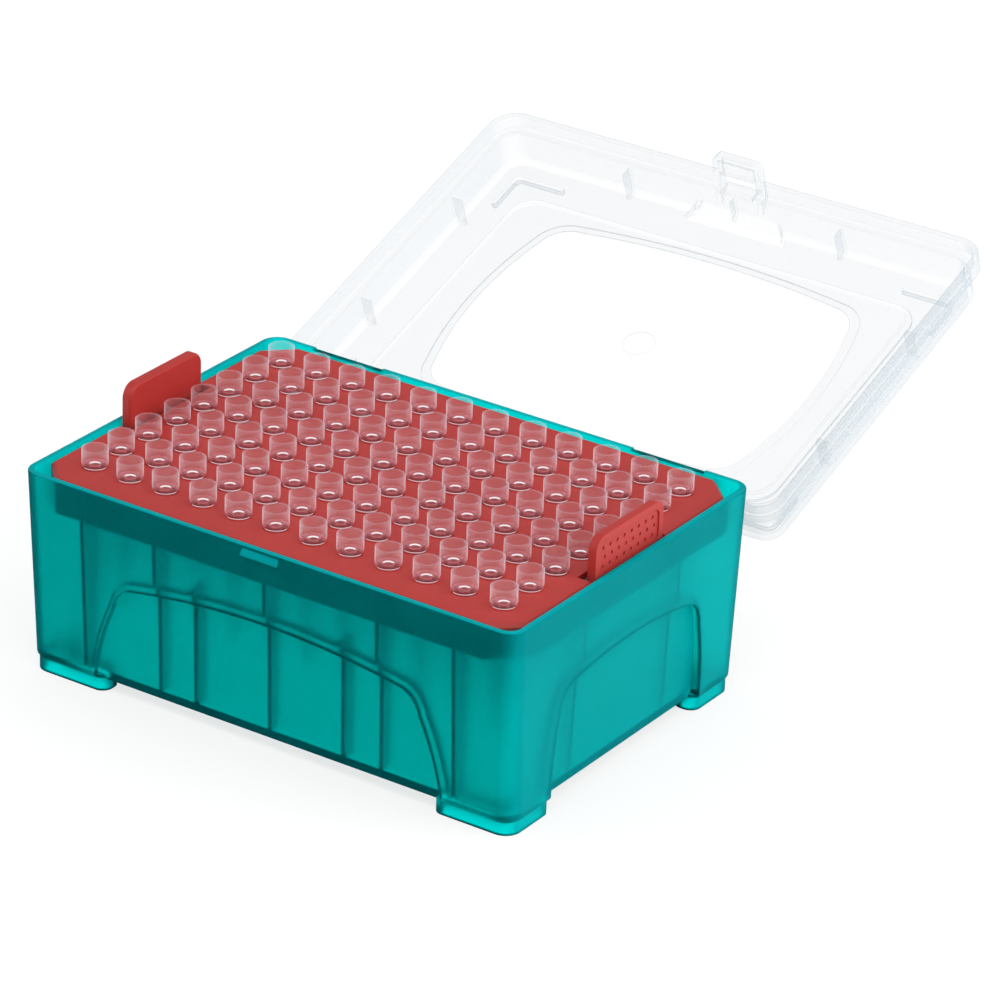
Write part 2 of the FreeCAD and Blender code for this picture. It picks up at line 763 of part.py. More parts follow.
def add_tabs(body) -> None:
    """Add the lift tab at each end, in its notch, with a framed and pitted outer face."""
    notch = new_sketch(body, "TabNotch", "XY_Plane", shift="deck_top")
    side = "tab_half + notch_side"
    outline(notch, box_corners("notch_inner", f"-({side})", "rim_half_x", side))
    gap = pocket(body, "TabNotchCut", notch, "deck_top - skirt_low - notch_floor")
    mirrored(body, "TabNotches", [gap], ["YZ_Plane"])
    plate = new_sketch(body, "Tab", "YZ_Plane", shift="tab_inner")
    outline(plate, tab_corners())
    raised = pad(body, "TabPad", plate, "tab_outer - tab_inner")
    mirrored(body, "Tabs", [raised], ["YZ_Plane"])
    deck = value("deck_top")
    inner_x = value("tab_inner")

    def on_inner_face(edge) -> bool:
        box = edge.BoundBox
        flat = box.XLength < 1e-4 and abs(abs(box.XMin) - inner_x) < 1e-4
        return flat and box.ZMax > deck + 1

    round_edges(body, "TabInnerEdges", "tab_edge", on_inner_face)
    field = new_sketch(body, "TabField", "YZ_Plane", shift="tab_outer")
    side = "tab_half - tab_frame"
    edge = "tab_top - tab_frame"
    outline(field, rounded_between(f"-({side})", "deck_top", side, edge, "field_bend"))
    sunk = pocket(body, "TabFieldCut", field, "field_deep")
    mirrored(body, "TabFields", [sunk], ["YZ_Plane"])
    dots = new_sketch(body, "Pits", "YZ_Plane", shift="tab_outer - field_deep")
    for row in range(3):
        stagger = row % 2
        for column in range(8):
            place = f"{column - 3.5} * pit_pitch + {stagger - 0.5} * pit_pitch / 4"
            ring(dots, place, f"tab_top - tab_bend - {row} * pit_row", "pit_radius")
    pits = pocket(body, "PitCuts", dots, "pit_deep")
    mirrored(body, "PitPairs", [pits], ["YZ_Plane"])


def rounded_between(low_x: str, low_y: str, high_x: str, high_y: str, radius: str) -> list:
    """List the corners of a rounded rectangle from its limits, anticlockwise."""
    return [
        (f"{low_x} + {radius}", low_y),
        (f"{high_x} - {radius}", low_y, radius, 1),
        (high_x, f"{low_y} + {radius}"),
        (high_x, f"{high_y} - {radius}", radius, 1),
        (f"{high_x} - {radius}", high_y),
        (f"{low_x} + {radius}", high_y, radius, 1),
        (low_x, f"{high_y} - {radius}"),
        (low_x, f"{low_y} + {radius}", radius, 1),
    ]


def make_rack():
    """Build the rack: a skirted deck with 12 by 8 holes and two lift tabs."""
    body = new_body("rack")
    low = (rack_half("x", "skirt_low"), rack_half("y", "skirt_low"), "skirt_low")
    high = (rack_half("x", "deck_top"), rack_half("y", "deck_top"), "deck_top")
    wedge(body, "RackBlock", low, high, "rack_corner", bevel=True)
    deck = value("deck_top")
    round_edges(body, "DeckEdge", "deck_bevel", lambda edge: level(edge, deck), bevel=True)
    hollow(body, "RackInside", rack_hollow())
    add_tabs(body)
    nub = new_sketch(body, "Nub", "YZ_Plane", shift=f"{rack_half('x', 'nub_low')} - skirt_wall / 2")
    outline(nub, box_corners("-nub_half", "nub_low", "nub_half", "nub_low + 0.9"))
    bump = pad(body, "NubPad", nub, "skirt_wall / 2 + nub_out")
    mirrored(body, "Nubs", [bump], ["YZ_Plane"])
    hole = new_sketch(body, "Hole", "XY_Plane", shift="deck_top")
    ring(hole, "-5.5 * pitch", "-3.5 * pitch", "hole_radius")
    first = pocket(body, "HoleCut", hole, "deck_thick + 1")
    repeat_grid(body, "Holes", [first], hole, [("H_Axis", 12, "pitch"), ("V_Axis", 8, "pitch")])
    return body


# --- Tips ----------------------------------------------------------------------------------


def make_tip():
    """Build one hollow pipette tip: a collar that rests on the deck, over a tapering barrel."""
    body = new_body("tip")
    profile = new_sketch(body, "TipProfile", "XZ_Plane")
    top = "deck_top + collar_height"
    bottom = f"{top} - tip_length"
    seat = "deck_top"
    corners = [
        ("tip_bore", bottom),
        ("tip_end_radius", bottom),
        ("waist_radius", "deck_top - waist_low"),
        ("barrel_radius - 0.25", "deck_top - barrel_low"),
        ("barrel_radius", seat),
        ("collar_radius - 0.3", seat),
        ("collar_radius", f"{seat} + 0.4"),
        ("collar_radius", top),
        ("collar_radius - collar_wall", top),
        ("socket_wide", f"{seat} + socket_floor + 0.6"),
        ("socket_bore", f"{seat} + socket_floor"),
        ("waist_bore", "deck_top - waist_low + 0.4"),
    ]
    outline(profile, corners)
    turned = body.newObject("PartDesign::Revolution", "TipBody")
    turned.Profile = profile
    turned.ReferenceAxis = (profile, ["V_Axis"])
    turned.Angle = 360
    body.Tip = turned
    doc.recompute()
    return body


def make_tip_columns(tip) -> dict:
    """Place the tips in twelve columns of eight, each a little off its hole's centre."""
    columns = {}
    for column in range(12):
        links = []
        for row in range(8):
            link = doc.addObject("App::Link", f"tip_{column + 1}_{row + 1}")
            link.LinkedObject = tip
            slack_x = 0.2 * math.sin(2.4 * column + 5.1 * row)
            slack_y = 0.2 * math.cos(3.7 * column + 1.9 * row)
            bind(link, "Placement.Base.x", f"{column - 5.5} * pitch + {slack_x:.3f}")
            bind(link, "Placement.Base.y", f"{row - 3.5} * pitch + {slack_y:.3f}")
            links.append(link)
        name = f"tips_column_{column + 1:02d}"
        group = doc.addObject("Part::Compound", name)
        group.Links = links
        columns[name] = group
    doc.recompute()
    return columns


# --- Lid -----------------------------------------------------------------------------------


def slab(body, name: str, corners: list, low: str, high: str):
    """Raise an outline between two heights."""
    sketch = new_sketch(body, name, "XY_Plane", shift=low)
    outline(sketch, corners)
    return pad(body, f"{name}Pad", sketch, f"({high}) - ({low})")


def window_corners(inset: str) -> list:
    """List the corners of the barrel-shaped window, whose four sides all bow outwards."""
    side_x = f"(window_half_x - window_bow_x - {inset})"
    side_y = f"(0.7 * window_half_y - 0.5 * {inset})"
    top_x = f"(window_half_x - window_cut - 0.5 * {inset})"
    top_y = f"(window_half_y - window_bow_y - {inset})"
    side_radius = f"({side_y} ^ 2 + window_bow_x ^ 2) / (2 * window_bow_x)"
    top_radius = f"({top_x} ^ 2 + window_bow_y ^ 2) / (2 * window_bow_y)"
    bend = f"(window_bend - 0.65 * {inset})"
    return [
        (f"-{top_x}", f"-{top_y}", top_radius, 1),
        (top_x, f"-{top_y}", bend, 1),
        (side_x, f"-{side_y}", side_radius, 1),
        (side_x, side_y, bend, 1),
        (top_x, top_y, top_radius, 1),
        (f"-{top_x}", top_y, bend, 1),
        (f"-{side_x}", side_y, side_radius, 1),
        (f"-{side_x}", f"-{side_y}", bend, 1),
    ]


def cut_scoop(body, face: str, low: str, grow: str) -> None:
    """Cut the sloping thumb scoop at the lid's front edge.

    Args:
        body: the solid that is cut.
        face: distance of the front face from the middle.
        low: height where the slope leaves the front face.
        grow: distance to widen the scoop on each side.
    """
    slope = new_sketch(body, "Scoop", "XZ_Plane", shift=face, lift=low, tilt="-45")
    corners = [
        (f"-scoop_half_low - {grow}", "-1"),
        (f"scoop_half_low + {grow}", "-1"),
        (f"scoop_half_high + {grow}", "6"),
        (f"-scoop_half_high - {grow}", "6"),
    ]
    outline(slope, corners)
    pocket(body, "ScoopCut", slope, "lid_top - mouth_low", outwards=True)


def gusset_corners(inner: str) -> list:
    """List the corners of a gusset that stands in from the lid's wall, at inner."""
    return box_corners(f"{inner} - gusset_reach", "gusset_low", "mouth_half_x + 1", "lid_top - lid_wall")


def make_lid_cavity():
    """Make the solid that the lid's inside is cut with, slotted where the lid has gussets."""
    body = new_body("lid_cavity")
    mouth = rounded("mouth_half_x - lid_wall", "mouth_half_y - lid_wall", "lid_corner - lid_wall")
    slab(body, "Mouth", mouth, "mouth_low - 1", "rim_top + seat_gap")
    inner_x = "(lid_half_x - lid_wall)"
    inner_y = "(lid_half_y - lid_wall)"
    ceiling = "(lid_top - lid_wall)"
    slab(body, "Chamber", rounded(inner_x, inner_y, "lid_corner - 1 - lid_wall"), "rim_top", ceiling)
    height = value(ceiling)
    round_edges(body, "ChamberEdge", "0.7", lambda edge: level(edge, height))
    raised = rounded("platform_half_x - lid_wall", "platform_half_y - lid_wall", "lid_corner - lid_wall")
    slab(body, "Raised", raised, f"{ceiling} - 1", f"{ceiling} + platform_high")
    gusset = new_sketch(body, "LongGusset", "YZ_Plane", shift="3 * pitch - rib_thick / 2")
    outline(gusset, gusset_corners(inner_y))
    first = pocket(body, "LongGussetSlot", gusset, "rib_thick", outwards=True)
    mirrored(body, "LongGussets", [first], ["YZ_Plane", "XZ_Plane"])
    gusset = new_sketch(body, "EndGusset", "XZ_Plane", shift="2 * pitch + rib_thick / 2")
    outline(gusset, gusset_corners(inner_x))
    second = pocket(body, "EndGussetSlot", gusset, "rib_thick")
    mirrored(body, "EndGussets", [second], ["YZ_Plane", "XZ_Plane"])
    cut_scoop(body, inner_y, "scoop_low - lid_wall * (sqrt(2) - 1)", "lid_wall / 2")
    rib = new_sketch(body, "ScoopRib", "YZ_Plane")
    outline(rib, box_corners("-mouth_half_x", "gusset_low", f"-{inner_y} + 1.6", "scoop_low + 1.5"))
    pocket(body, "ScoopRibSlot", rib, "rib_thick", middle=True)
    gate = new_sketch(body, "Gate", "XY_Plane", shift=f"{ceiling} + platform_high")
    ring(gate, "0", "0", "gate_radius")
    pocket(body, "GateDisc", gate, "0.3")
    return body


def ridge_corners() -> list:
    """List the corners of one L-shaped locating ridge, which fits inside a foot's hollow."""
    far_x = f"({shell_half('x', 'floor_low')} - foot_inset - ridge_inset_x)"
    far_y = f"({shell_half('y', 'floor_low')} - foot_inset - ridge_inset_y)"
    start_x = "foot_reach_x + ridge_start_x"
    start_y = "foot_reach_y + ridge_start_y"
    return [
        (far_x, start_y),
        (far_x, f"{far_y} - ridge_bend", "ridge_bend", 1),
        (f"{far_x} - ridge_bend", far_y),
        (start_x, far_y),
        (start_x, f"{far_y} - ridge_wide"),
        (f"{far_x} - ridge_bend", f"{far_y} - ridge_wide", "ridge_bend - ridge_wide", -1),
        (f"{far_x} - ridge_wide", f"{far_y} - ridge_bend"),
        (f"{far_x} - ridge_wide", start_y),
    ]


def add_latch(body) -> None:
    """Add the latch: a thin panel in a thick rim, whose legs run up the lid, over a slot."""
    inner = "(mouth_half_y - lid_wall)"
    outer = f"({inner} + latch_thick)"
    slot_low = "(catch_low - catch_play)"
    slot_side = "(latch_half - latch_leg)"
    rim_low = "(latch_low + latch_leg)"
    plate = new_sketch(body, "Latch", "XZ_Plane", shift=inner)
    corners = [
        ("-latch_half + latch_bend", "latch_low"),
        ("latch_half - latch_bend", "latch_low", "latch_bend", 1),
        ("latch_half", "latch_low + latch_bend"),
        ("latch_half", "lid_step - 0.2"),
        ("-latch_half", "lid_step - 0.2"),
        ("-latch_half", "latch_low + latch_bend", "latch_bend", 1),
    ]
    outline(plate, corners)
    pad(body, "LatchPad", plate, "latch_thick")
    leg = new_sketch(body, "LatchLeg", "YZ_Plane", shift=slot_side)
    root = "-lid_half_y + lid_wall / 2"
    corners = [
        (root, "lid_step - 0.4"),
        (root, "leg_top"),
        ("-lid_half_y", "leg_top"),
        (f"-{outer}", "leg_slope"),
        (f"-{outer}", "lid_step - 0.4"),
    ]
    outline(leg, corners)
    rise = pad(body, "LatchLegPad", leg, "latch_leg")
    mirrored(body, "LatchLegs", [rise], ["YZ_Plane"])
    inside = new_sketch(body, "LatchInside", "XZ_Plane", shift=inner)
    outline(inside, box_corners(f"-{slot_side}", rim_low, slot_side, "mouth_low"))
    pocket(body, "LatchInsideCut", inside, "latch_sunk", outwards=True)
    outside = new_sketch(body, "LatchOutside", "XZ_Plane", shift=outer)
    low = f"-{slot_side}"
    outline(outside, rounded_between(low, rim_low, slot_side, "lid_step - 1", "latch_leg / 2"))
    pocket(body, "LatchOutsideCut", outside, "latch_thick - latch_sunk - latch_web")
    slot = new_sketch(body, "LatchSlot", "XZ_Plane", shift=outer)
    outline(slot, box_corners(low, slot_low, slot_side, "lid_step - 0.7"))
    pocket(body, "LatchSlotCut", slot, "latch_thick + 2.6")


def add_knuckles(body) -> None:
    """Add the two hinge knuckles that turn on the box's pins."""
    start = "hinge_inner_x + bracket_thick + knuckle_gap"
    width = "hinge_outer_x - hinge_inner_x - 2 * (bracket_thick + knuckle_gap)"
    radius = "knuckle_radius"
    left = ("hinge_y - 0.70711 * knuckle_radius", "hinge_z + 0.70711 * knuckle_radius", radius, 1)
    right = ("hinge_y + 0.5 * knuckle_radius", "hinge_z + 0.86603 * knuckle_radius")
    corners = [
        ("mouth_half_y - lid_wall + 0.1", "mouth_low + 0.5"),
        left,
        ("hinge_y", "hinge_z - knuckle_radius", radius, 1),
        right,
        ("mouth_half_y - 0.01", "mouth_low + 0.5"),
    ]
    lobe = new_sketch(body, "Knuckle", "YZ_Plane", shift=start)
    outline(lobe, corners)
    solid = pad(body, "KnucklePad", lobe, width)
    bore = new_sketch(body, "KnuckleBore", "YZ_Plane", shift=start)
    ring(bore, "hinge_y", "hinge_z", "pin_radius + pin_play")
    hole = pocket(body, "KnuckleBoreCut", bore, width, outwards=True)
    mirrored(body, "Knuckles", [solid, hole], ["YZ_Plane"])


def make_lid():
    """Build the lid closed, then lay it open about the hinge."""
    body = new_body("lid")
    slab(body, "Skirt", rounded("mouth_half_x", "mouth_half_y", "lid_corner"), "mouth_low", "lid_step")
    step = value("lid_step")
    round_edges(body, "SkirtEdge", "skirt_edge", lambda edge: level(edge, step))
    slab(body, "Cover", rounded("lid_half_x", "lid_half_y", "lid_corner - 1"), "mouth_low + 1", "lid_top")
    top = value("lid_top")
    round_edges(body, "CoverEdge", "cover_edge", lambda edge: level(edge, top))
    deck = "lid_top + platform_high"
    raised = rounded("platform_half_x", "platform_half_y", "lid_corner")
    slab(body, "Platform", raised, "lid_top - 0.5", deck)
    height = value(deck)
    round_edges(body, "PlatformEdge", "0.5", lambda edge: level(edge, height))
    steps = (("Window", "0", "window_deep"), ("WindowField", "window_border", "window_field"))
    for name, inset, depth in steps:
        sketch = new_sketch(body, name, "XY_Plane", shift=deck)
        outline(sketch, window_corners(inset))
        pocket(body, f"{name}Cut", sketch, depth)
    ridge = slab(body, "Ridge", ridge_corners(), "lid_top - lid_wall / 4", "lid_top + ridge_high")
    mirrored(body, "Ridges", [ridge], ["YZ_Plane", "XZ_Plane"])
    cut_scoop(body, "lid_half_y", "scoop_low", "0")
    hollow(body, "LidInside", make_lid_cavity())
    add_latch(body)
    add_knuckles(body)
    body.Placement = App.Placement(V(0, 0, 0), App.Rotation(V(1, 0, 0), 0))
    bind(body, "Placement.Rotation.Angle", "-lid_open")
    moved_y, moved_z = open_point("-hinge_y", "-hinge_z")
    bind(body, "Placement.Base.y", moved_y)
    bind(body, "Placement.Base.z", moved_z)
    doc.recompute()
    return body


# --- The whole object ----------------------------------------------------------------------


def check_document() -> None:
    """Stop if any object failed to rebuild."""
    for item in doc.Objects:
        if "Invalid" in item.State or "Error" in item.State:
            raise RuntimeError(f"{item.Label} did not rebuild")


def write_node(name: str, shape: Part.Shape) -> None:
    """Check one node's solids and write them to its file."""
    if shape.isNull() or not shape.isValid() or not shape.Solids:
        raise RuntimeError(f"{name} has no sound solid")
    shape.exportStep(f"parts/{name}.step")


def main() -> None:
    """Build every node and write one STEP file for each."""
    nodes = {"base": make_base(), "rack": make_rack(), "lid": make_lid()}
    nodes.update(make_tip_columns(make_tip()))
    doc.recompute()
    check_document()
    os.makedirs("parts", exist_ok=True)
    for name, item in nodes.items():
        write_node(name, item.Shape)


main()
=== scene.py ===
"""Looks of the hinged box of pipette tips: finishes, studio and camera round the CAD frame.

All lengths are in metres. The frame is the CAD one: +X along the long side, +Y towards the hinge,
+Z up, with the origin on the table under the middle of the box.
"""
import json
import logging
import math
from dataclasses import dataclass
from enum import Enum

import bpy
from mathutils import Matrix, Vector


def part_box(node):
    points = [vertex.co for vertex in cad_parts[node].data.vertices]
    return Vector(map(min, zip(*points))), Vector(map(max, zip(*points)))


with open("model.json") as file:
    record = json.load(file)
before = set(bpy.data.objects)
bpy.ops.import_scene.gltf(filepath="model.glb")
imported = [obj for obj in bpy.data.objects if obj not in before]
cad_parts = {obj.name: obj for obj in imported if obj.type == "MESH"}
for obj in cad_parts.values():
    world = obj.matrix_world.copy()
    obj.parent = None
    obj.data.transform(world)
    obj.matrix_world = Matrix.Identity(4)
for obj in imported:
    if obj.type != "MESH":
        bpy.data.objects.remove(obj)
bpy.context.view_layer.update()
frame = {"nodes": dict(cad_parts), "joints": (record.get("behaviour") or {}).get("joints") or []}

LOG = logging.getLogger("tip_box")
MM = 0.001
WHITE = (1.0, 1.0, 1.0, 1.0)
NOISE_ROUGHNESS = 0.55
BEVEL_SAMPLES = 4
# The Mix node names its sockets alike for numbers and colours, so the colour ones go by place.
MIX_FIRST, MIX_SECOND, MIX_COLOUR = 6, 7, 2
# How far a rounded normal has turned from the flat one where an edge starts, and where it is full.
EDGE_TURN = (0.01, 0.2)
# Where the frame puts what the looks follow: the lid's hinge, the box's rim and the front of its
# catch, and the tops of the tips' collars.
HINGE = next(joint for joint in frame["joints"] if joint["name"] == "lid_hinge")
RIM_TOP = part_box("base")[1].z
CATCH_FRONT = -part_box("base")[0].y
COLLAR_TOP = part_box("tips_column_01")[1].z


# --- Shader graphs -------------------------------------------------------------------------


class Socket:
    """A shader value that adds Math nodes when it is used in an expression."""

    def __init__(self, graph: "Graph", link: bpy.types.NodeSocket) -> None:
        """Wrap one output socket of a graph."""
        self.graph = graph
        self.link = link

    def _math(self, operation: str, *terms: "Socket | float") -> "Socket":
        """Add one Math node.

        Args:
            operation: the Math node's operation.
            terms: its inputs, in order.

        Returns:
            The node's value.
        """
        return self.graph.add("ShaderNodeMath", {"operation": operation}, dict(enumerate(terms)))

    def __add__(self, other: "Socket | float") -> "Socket":
        """Add a value or a number."""
        return self._math("ADD", self, other)

    __radd__ = __add__

    def __mul__(self, other: "Socket | float") -> "Socket":
        """Multiply by a value or a number."""
        return self._math("MULTIPLY", self, other)

    __rmul__ = __mul__

    def __sub__(self, other: "Socket | float") -> "Socket":
        """Take a value or a number away."""
        return self._math("SUBTRACT", self, other)

    def __rsub__(self, other: float) -> "Socket":
        """Take this value away from a number."""
        return self._math("SUBTRACT", other, self)

    def __pow__(self, other: float) -> "Socket":
        """Raise to a power."""
        return self._math("POWER", self, other)

    def limit(self) -> "Socket":
        """Keep the value between 0 and 1."""
        return self.graph.add("ShaderNodeClamp", {}, {"Value": self})

    def ramp(self, low: float, high: float) -> "Socket":
        """Run smoothly from 0 at low to 1 at high.

        Args:
            low: the value that gives 0.
            high: the value that gives 1.

        Returns:
            The smooth step.
        """
        settings = {"interpolation_type": "SMOOTHSTEP"}
        inputs = {"Value": self, "From Min": low, "From Max": high}
        return self.graph.add("ShaderNodeMapRange", settings, inputs)

    def band(self, low: float, high: float, soft: float) -> "Socket":
        """Give 1 between two values and 0 outside them.

        Args:
            low: where the band starts to rise.
            high: where the band has ended.
            soft: how wide its rise and its fall are.

        Returns:
            The soft-edged band.
        """
        return self.ramp(low, low + soft) * (1.0 - self.ramp(high - soft, high))


class Graph:
    """The node tree of a material or of the world."""

    def __init__(self, owner: "bpy.types.Material | bpy.types.World") -> None:
        """Take over the owner's node tree and empty it."""
        owner.use_nodes = True
        self.owner = owner
        self.tree = owner.node_tree
        self.tree.nodes.clear()
        self.rounded: dict[float, Socket] = {}

    def add(self, kind: str, settings: dict, inputs: dict, out: "int | str" = 0) -> Socket:
        """Add a node of any type.

        Args:
            kind: the node's type.
            settings: properties that are set before the inputs.
            inputs: a number, a tuple or a Socket for each input, by name or place. None leaves
                the input as it is.
            out: which output is returned, by name or place.

        Returns:
            That output.
        """
        node = self.tree.nodes.new(kind)
        for name, setting in settings.items():
            setattr(node, name, setting)
        for name, given in inputs.items():
            if isinstance(given, Socket):
                self.tree.links.new(given.link, node.inputs[name])
            elif given is not None:
                node.inputs[name].default_value = given
        return Socket(self, node.outputs[out] if len(node.outputs) else None)

    def place(self) -> Socket:
        """Give the object's own coordinates."""
        return self.add("ShaderNodeTexCoord", {}, {}, "Object")

    def axis(self, letter: str) -> Socket:
        """Give one of the object's own coordinates, in metres."""
        return self.add("ShaderNodeSeparateXYZ", {}, {0: self.place()}, letter)

    def normal(self, letter: str) -> Socket:
        """Give one part of the flat normal of the face."""
        flat = self.add("ShaderNodeNewGeometry", {}, {}, "True Normal")
        return self.add("ShaderNodeSeparateXYZ", {}, {0: flat}, letter)

    def noise(self, grain: float, detail: float, stretch: tuple = (1.0, 1.0, 1.0)) -> Socket:
        """Add noise whose patches are about one grain across.

        Args:
            grain: size of a patch in metres.
            detail: how many finer layers it has.
            stretch: how much longer the patches are along each axis.

        Returns:
            A value from 0 to 1.
        """
        scale = tuple(1.0 / length for length in stretch)
        spot = self.add("ShaderNodeMapping", {}, {"Vector": self.place(), "Scale": scale})
        inputs = {
            "Vector": spot,
            "Scale": 1.0 / grain,
            "Detail": detail,
            "Roughness": NOISE_ROUGHNESS,
        }
        return self.add("ShaderNodeTexNoise", {}, inputs)

    def mix(self, amount: Socket, first: "tuple | Socket", second: "tuple | Socket") -> Socket:
        """Blend two colours, from all the first at 0 to all the second at 1."""
        inputs = {0: amount, MIX_FIRST: first, MIX_SECOND: second}
        return self.add("ShaderNodeMix", {"data_type": "RGBA"}, inputs, MIX_COLOUR)

    def bump(self, height: Socket, depth: float, strength: float, under: Socket) -> Socket:
        """Turn a height from 0 to 1 into a bumped normal.

        Args:
            height: the height.
            depth: the real depth of the relief in metres.
            strength: how much of it shows.
            under: a normal to bump further.

        Returns:
            The normal.
        """
        inputs = {"Height": height, "Distance": depth, "Strength": strength, "Normal": under}
        return self.add("ShaderNodeBump", {}, inputs)

    def soft_edges(self, radius: float) -> Socket:
        """Give a normal that rounds every edge by a radius in metres."""
        if radius not in self.rounded:
            settings = {"samples": BEVEL_SAMPLES}
            self.rounded[radius] = self.add("ShaderNodeBevel", settings, {"Radius": radius})
        return self.rounded[radius]

    def edges(self, radius: float) -> Socket:
        """Give a value that rises to 1 within a radius in metres of every sharp edge."""
        flat = self.add("ShaderNodeNewGeometry", {}, {}, "True Normal")
        inputs = {0: self.soft_edges(radius), 1: flat}
        along = self.add("ShaderNodeVectorMath", {"operation": "DOT_PRODUCT"}, inputs, "Value")
        return (1.0 - along).ramp(*EDGE_TURN)

    def outside(self) -> Socket:
        """Give 1 where a surface is met from outside its solid and 0 from inside."""
        return 1.0 - self.add("ShaderNodeNewGeometry", {}, {}, "Backfacing")

    def facing(self, normal: "Socket | None" = None) -> Socket:
        """Give 0 where a surface is seen square on, rising to 1 where it is seen edge on.

        Args:
            normal: a bumped normal, or None for the plain one.

        Returns:
            How much the surface turns away.
        """
        return self.add("ShaderNodeLayerWeight", {}, {"Blend": 0.5, "Normal": normal}, "Facing")

    def blend(self, amount: "Socket | float", first: Socket, second: Socket) -> Socket:
        """Mix two shaders, from all the first at 0 to all the second at 1."""
        return self.add("ShaderNodeMixShader", {}, {0: amount, 1: first, 2: second})

    def finish(self, surface: Socket, volume: "Socket | None" = None) -> None:
        """Connect the surface, and the volume if there is one, to the material's output."""
        inputs = {"Surface": surface}
        if volume is not None:
            inputs["Volume"] = volume
        self.add("ShaderNodeOutputMaterial", {}, inputs)


def rgb(red: float, green: float, blue: float) -> tuple:
    """Turn an sRGB colour, as seen on screen from 0 to 255, into a linear one."""
    parts = []
    for part in (red, green, blue):
        share = part / 255.0
        parts.append(share / 12.92 if share <= 0.04045 else ((share + 0.055) / 1.055) ** 2.4)
    return (*parts, 1.0)


# --- Finishes ------------------------------------------------------------------------------


class Grain(Enum):
    """How fine the moulded surface is: size of a patch and depth of the relief, in metres."""

    POLISHED = (3.0 * MM, 0.002 * MM)
    SATIN = (0.35 * MM, 0.010 * MM)
    MATT = (0.16 * MM, 0.020 * MM)


@dataclass(frozen=True, kw_only=True)
class Plastic:
    """A moulded plastic, even apart from faint flow marks, grain and handling.

    Its colour drifts to a deeper one along the flow, with smaller clouds in it. The wipe is the
    wear from handling, which makes the roughness uneven, as the fine grain does by its share.
    Each detail is a number of finer layers of noise.
    """

    name: str
    colour: tuple
    deep_colour: tuple
    grain: Grain
    roughness: float
    rough_spread: float = 0.06
    fine_share: float = 0.4
    fine_detail: float = 2.0
    relief: float = 0.6
    edge_radius: float = 0.15 * MM
    flow_size: float = 22 * MM
    flow_detail: float = 2.0
    flow_share: float = 0.65
    flow_contrast: tuple = (0.32, 0.68)
    flow_stretch: tuple = (1.0, 1.0, 0.45)
    cloud_ratio: float = 0.25
    cloud_detail: float = 4.0
    wipe_size: float = 6 * MM
    wipe_detail: float = 5.0
    wipe_stretch: tuple = (3.0, 3.0, 0.6)

    def tone(self, graph: Graph) -> Socket:
        """Give the colour, with the slow drift that the melt leaves as it flows."""
        flow = graph.noise(self.flow_size, self.flow_detail, self.flow_stretch)
        cloud = graph.noise(self.flow_size * self.cloud_ratio, self.cloud_detail)
        drift = self.flow_share * flow + (1.0 - self.flow_share) * cloud
        return graph.mix(drift.ramp(*self.flow_contrast), self.deep_colour, self.colour)

    def skin(self, graph: Graph) -> tuple[Socket, "Socket | None"]:
        """Give the roughness, uneven from grain and handling, and the grained normal."""
        grain_size, grain_depth = self.grain.value
        fine = graph.noise(grain_size, self.fine_detail)
        wipe = graph.noise(self.wipe_size, self.wipe_detail, self.wipe_stretch)
        uneven = self.rough_spread * (wipe - 0.5 + self.fine_share * (fine - 0.5))
        normal = graph.bump(fine, grain_depth, self.relief, graph.soft_edges(self.edge_radius))
        return (self.roughness + uneven).limit(), normal

    def shaders(self, graph: Graph) -> tuple:
        """Give the surface shader, and after it the volume shader if there is one."""
        raise NotImplementedError

    def make(self) -> bpy.types.Material:
        """Build the finished material."""
        graph = Graph(bpy.data.materials.new(self.name))
        graph.finish(*self.shaders(graph))
        return graph.owner


@dataclass(frozen=True, kw_only=True)
class OpaquePlastic(Plastic):
    """A plastic that lets no light through."""

    gloss: float
    gloss_colour: tuple = WHITE

    def body(self, graph: Graph, colour: "Socket | tuple", rough: Socket, normal: Socket) -> Socket:
        """Give a Principled shader in this plastic's gloss.

        Args:
            graph: the material's graph.
            colour: its colour.
            rough: its roughness.
            normal: its normal.

        Returns:
            The Principled shader.
        """
        inputs = {
            "Base Color": colour,
            "Roughness": rough,
            "Normal": normal,
            "Specular IOR Level": self.gloss,
            "Specular Tint": self.gloss_colour,
        }
        return graph.add("ShaderNodeBsdfPrincipled", {}, inputs)

    def shaders(self, graph: Graph) -> tuple:
        """Give the plain body."""
        return (self.body(graph, self.tone(graph), *self.skin(graph)),)


